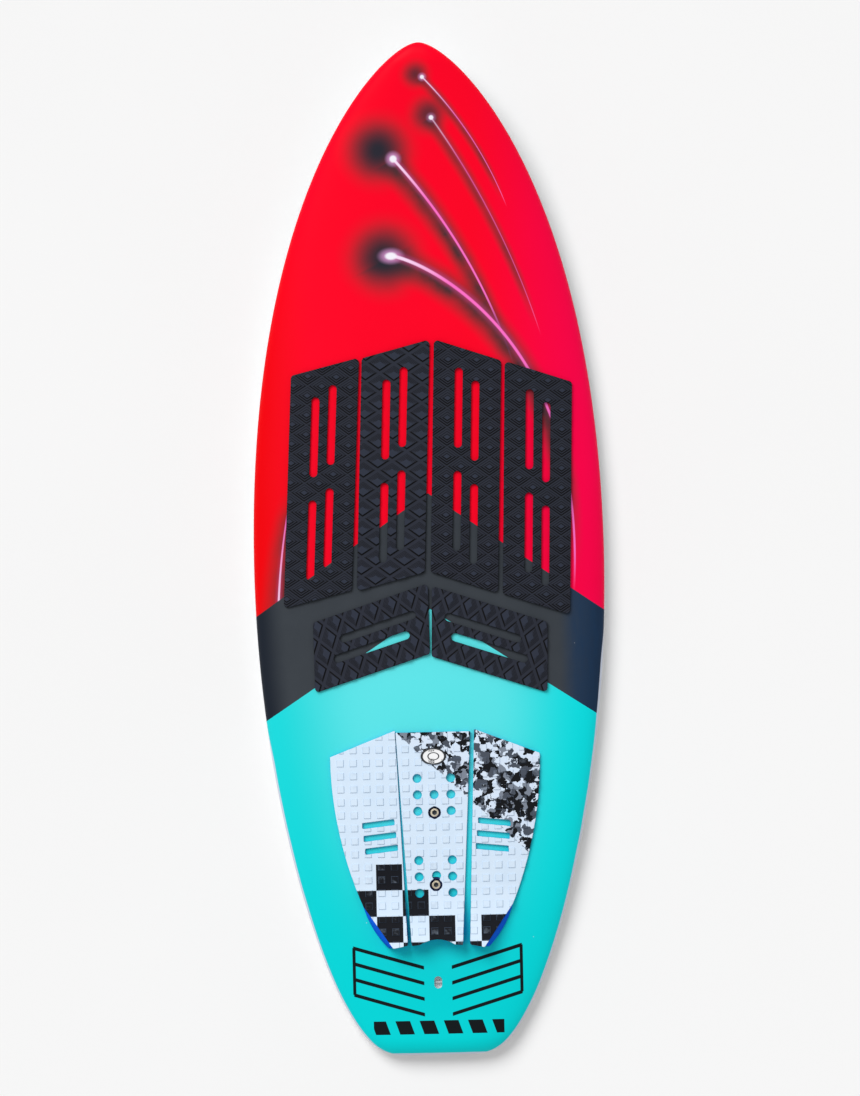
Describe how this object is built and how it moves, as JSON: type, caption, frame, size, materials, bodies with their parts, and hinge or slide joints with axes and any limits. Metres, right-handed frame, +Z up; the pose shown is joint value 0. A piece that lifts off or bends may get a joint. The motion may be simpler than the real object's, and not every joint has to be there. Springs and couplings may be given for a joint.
{
  "type": "kiteboard",
  "caption": "Strapless kite foilboard with a pointed nose, squared tail, foam deck pads with a tail kick, a foil box under the tail with bolts through the deck, and a leash plug.",
  "frame": {"origin": "on the flat of the bottom, at mid length on the centre line, which is the bottom centre of the bounding box", "axes": "+Y to the nose, +X to the right seen from above with the nose up, +Z up out of the deck"},
  "size_m": [0.4926, 1.422, 0.0851],
  "materials": {
    "deck_paint": "gloss",
    "bottom_gloss": "gloss",
    "core_foam": "matte",
    "stringer_wood": "matte",
    "dense_foam": "matte",
    "box_plastic": "satin",
    "sleeve_plastic": "satin",
    "bolt_steel": "satin",
    "plug_plastic": "gloss",
    "pin_steel": "satin",
    "black_eva": "matte",
    "blue_eva": "matte",
    "white_eva": "matte",
    "badge_rubber": "satin"
  },
  "bodies": {
    "board": {"deck_laminate": "deck_paint", "bottom_laminate": "bottom_gloss", "foam_core_left": "core_foam", "foam_core_right": "core_foam", "stringer_front": "stringer_wood", "stringer_rear": "stringer_wood", "foil_box_block": "dense_foam", "foil_box": "box_plastic", "bolt_sleeve_front": "sleeve_plastic", "bolt_sleeve_rear": "sleeve_plastic", "leash_plug_cup": "plug_plastic", "leash_plug_pin": "pin_steel", "front_pad_outer_left": "black_eva", "front_pad_inner_left": "black_eva", "front_pad_inner_right": "black_eva", "front_pad_outer_right": "black_eva", "mid_pad_left": "black_eva", "mid_pad_right": "black_eva", "tail_pad_left_base": "blue_eva", "tail_kick_left": "blue_eva", "tail_pad_left_top": "white_eva", "tail_pad_right_base": "blue_eva", "tail_kick_right": "blue_eva", "tail_pad_right_top": "white_eva", "tail_pad_centre_base": "blue_eva", "tail_kick_centre": "blue_eva", "tail_pad_centre_top": "white_eva", "tail_badge": "badge_rubber"},
    "front_washer": {"bolt_washer_front": "bolt_steel"},
    "front_bolt": {"foil_bolt_front": "bolt_steel"},
    "rear_washer": {"bolt_washer_rear": "bolt_steel"},
    "rear_bolt": {"foil_bolt_rear": "bolt_steel"}
  },
  "joints": [
    {"name": "front_bolt_lift", "type": "slide", "parent": "board", "child": "front_washer", "axis": [0, 0, 1], "range_m": [0, 0.05]},
    {"name": "front_bolt_turn", "type": "hinge", "parent": "front_washer", "child": "front_bolt", "pos_m": [0, -0.37025, 0.05], "axis": [0, 0, 1], "continuous": true},
    {"name": "rear_bolt_lift", "type": "slide", "parent": "board", "child": "rear_washer", "axis": [0, 0, 1], "range_m": [0, 0.05]},
    {"name": "rear_bolt_turn", "type": "hinge", "parent": "rear_washer", "child": "rear_bolt", "pos_m": [0, -0.47175, 0.05], "axis": [0, 0, 1], "continuous": true}
  ]
}
